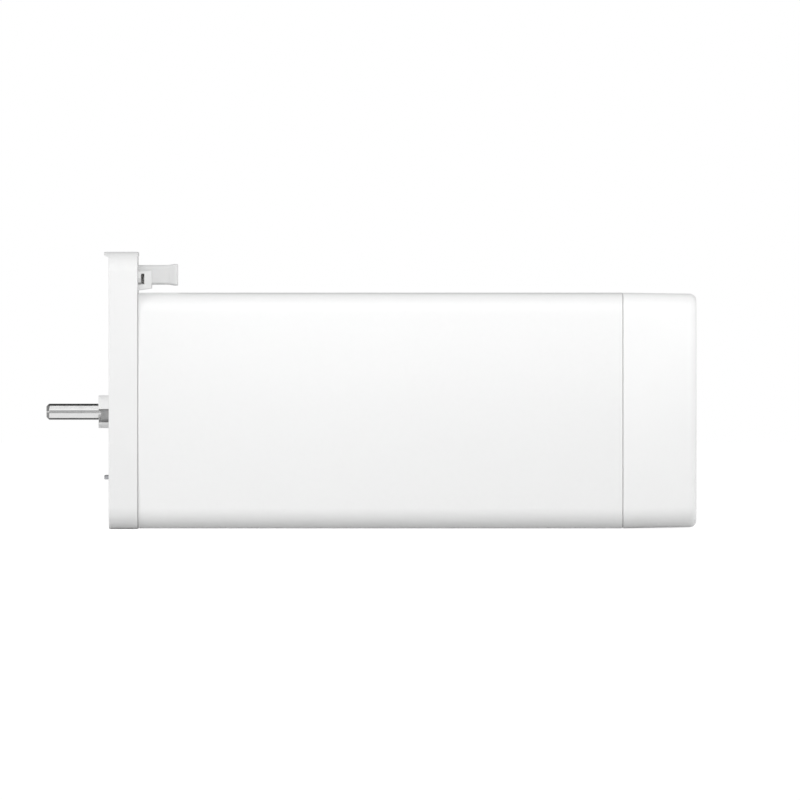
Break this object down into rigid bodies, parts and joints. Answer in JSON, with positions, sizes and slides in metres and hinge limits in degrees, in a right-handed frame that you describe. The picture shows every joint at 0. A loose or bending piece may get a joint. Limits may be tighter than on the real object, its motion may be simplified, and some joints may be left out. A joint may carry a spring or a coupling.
{
  "type": "curtain motor",
  "caption": "Long flat-sided curtain track motor lying on its narrow side, with a hexagonal drive shaft, squeeze latch, planetary gearbox, motor, boards and end sockets.",
  "frame": {"origin": "on the drive shaft's axis, in the outer face of the head plate", "axes": "+X along the shaft from the head plate to the end cap, +Z towards the side with the latch lever, Y across the body's thickness"},
  "size_m": [0.2441, 0.0508, 0.1041],
  "materials": {
    "white_enamel": "satin white enamel",
    "white_plastic": "fine satin",
    "grey_plastic": "satin",
    "black_plastic": "satin",
    "clear_plastic": "polished",
    "bright_steel": "ground and polished",
    "zinc_steel": "zinc plated",
    "spring_steel": "oiled",
    "sintered_bronze": "sintered, oily",
    "sintered_iron": "sintered, oily",
    "contact_brass": "bright",
    "gear_plastic": "natural acetal",
    "gear_steel": "sintered, oiled",
    "copper_wire": "lacquered copper",
    "core_steel": "stacked sheet",
    "ferrite": "matt ferrite",
    "carbon": "carbon",
    "board_green": "solder mask",
    "damper_rubber": "matt",
    "wire_sheath": "smooth"
  },
  "bodies": {
    "housing": {"head_plate": "white_plastic", "shaft_collar": "white_plastic", "locating_pegs": "bright_steel", "head_screws": "zinc_steel", "latch_bracket": "white_plastic", "latch_pin": "bright_steel", "latch_spring": "spring_steel", "body_sleeve": "white_enamel", "output_bush": "sintered_iron", "gearbox_front_flange": "gear_steel", "gearbox_ring": "gear_steel", "gearbox_screws": "zinc_steel", "motor_mount_plate": "gear_steel", "motor_screws": "zinc_steel", "motor_can": "zinc_steel", "motor_magnets": "ferrite", "motor_end_bell": "black_plastic", "motor_bushes": "sintered_bronze", "motor_brushes": "carbon", "encoder_board": "board_green", "motor_terminals": "contact_brass", "motor_leads": "wire_sheath", "motor_dampers": "damper_rubber", "chassis": "black_plastic", "control_board": "board_green", "control_components": "black_plastic", "radio_module": "board_green", "power_board": "board_green", "power_transformer": "ferrite", "power_capacitor": "black_plastic", "end_cap": "white_plastic", "end_cap_screws": "zinc_steel", "socket_plate": "grey_plastic", "port_board": "board_green", "port_board_screws": "zinc_steel", "power_inlet": "black_plastic", "inlet_pins": "contact_brass", "data_socket": "black_plastic", "push_switch": "black_plastic", "status_light_pipe": "clear_plastic"},
    "output_shaft": {"drive_shaft": "bright_steel", "output_carrier": "gear_steel", "output_carrier_pins": "bright_steel"},
    "output_planet_1": {"output_planet_1": "gear_steel"},
    "output_planet_2": {"output_planet_2": "gear_steel"},
    "output_planet_3": {"output_planet_3": "gear_steel"},
    "middle_carrier": {"middle_carrier": "gear_steel", "middle_carrier_pins": "bright_steel"},
    "input_planet_1": {"input_planet_1": "gear_plastic"},
    "input_planet_2": {"input_planet_2": "gear_plastic"},
    "input_planet_3": {"input_planet_3": "gear_plastic"},
    "rotor": {"motor_shaft": "bright_steel", "motor_pinion": "gear_steel", "armature_core": "core_steel", "armature_windings": "copper_wire", "commutator": "contact_brass", "encoder_magnet": "ferrite"},
    "latch_lever": {"latch_lever": "white_plastic"},
    "program_button": {"program_button": "white_plastic", "switch_plunger": "black_plastic"}
  },
  "joints": [
    {"name": "rotor_spin", "type": "hinge", "parent": "housing", "child": "rotor", "pos_m": [0, 0, 0], "axis": [1, 0, 0], "continuous": true},
    {"name": "middle_carrier_spin", "type": "hinge", "parent": "housing", "child": "middle_carrier", "pos_m": [0, 0, 0], "axis": [1, 0, 0], "continuous": true},
    {"name": "shaft_spin", "type": "hinge", "parent": "housing", "child": "output_shaft", "pos_m": [0, 0, 0], "axis": [1, 0, 0], "continuous": true},
    {"name": "input_planet_1_spin", "type": "hinge", "parent": "middle_carrier", "child": "input_planet_1", "pos_m": [0, 0.00877, 0.00506], "axis": [1, 0, 0], "continuous": true},
    {"name": "output_planet_1_spin", "type": "hinge", "parent": "output_shaft", "child": "output_planet_1", "pos_m": [0, 0, 0.01013], "axis": [1, 0, 0], "continuous": true},
    {"name": "input_planet_2_spin", "type": "hinge", "parent": "middle_carrier", "child": "input_planet_2", "pos_m": [0, -0.00877, 0.00506], "axis": [1, 0, 0], "continuous": true},
    {"name": "output_planet_2_spin", "type": "hinge", "parent": "output_shaft", "child": "output_planet_2", "pos_m": [0, -0.00877, -0.00506], "axis": [1, 0, 0], "continuous": true},
    {"name": "input_planet_3_spin", "type": "hinge", "parent": "middle_carrier", "child": "input_planet_3", "pos_m": [0, 0, -0.01013], "axis": [1, 0, 0], "continuous": true},
    {"name": "output_planet_3_spin", "type": "hinge", "parent": "output_shaft", "child": "output_planet_3", "pos_m": [0, 0.00877, -0.00506], "axis": [1, 0, 0], "continuous": true},
    {"name": "latch_squeeze", "type": "hinge", "parent": "housing", "child": "latch_lever", "pos_m": [0.0139, 0, 0.05], "axis": [0, 1, 0], "range_deg": [0, 12], "stiffness_Nm_per_rad": 0.08, "springref_deg": -20.05, "deforming": ["latch_spring"]},
    {"name": "program_press", "type": "slide", "parent": "housing", "child": "program_button", "axis": [-1, 0, 0], "range_m": [0, 0.0006], "stiffness_N_per_m": 900, "springref_m": -0.001}
  ],
  "couplings": [
    {"joint": "middle_carrier_spin", "follows": "rotor_spin", "ratio": 0.22222},
    {"joint": "shaft_spin", "follows": "rotor_spin", "ratio": 0.049383},
    {"joint": "input_planet_1_spin", "follows": "rotor_spin", "ratio": -0.62222},
    {"joint": "output_planet_1_spin", "follows": "rotor_spin", "ratio": -0.13827},
    {"joint": "input_planet_2_spin", "follows": "rotor_spin", "ratio": -0.62222},
    {"joint": "output_planet_2_spin", "follows": "rotor_spin", "ratio": -0.13827},
    {"joint": "input_planet_3_spin", "follows": "rotor_spin", "ratio": -0.62222},
    {"joint": "output_planet_3_spin", "follows": "rotor_spin", "ratio": -0.13827}
  ]
}
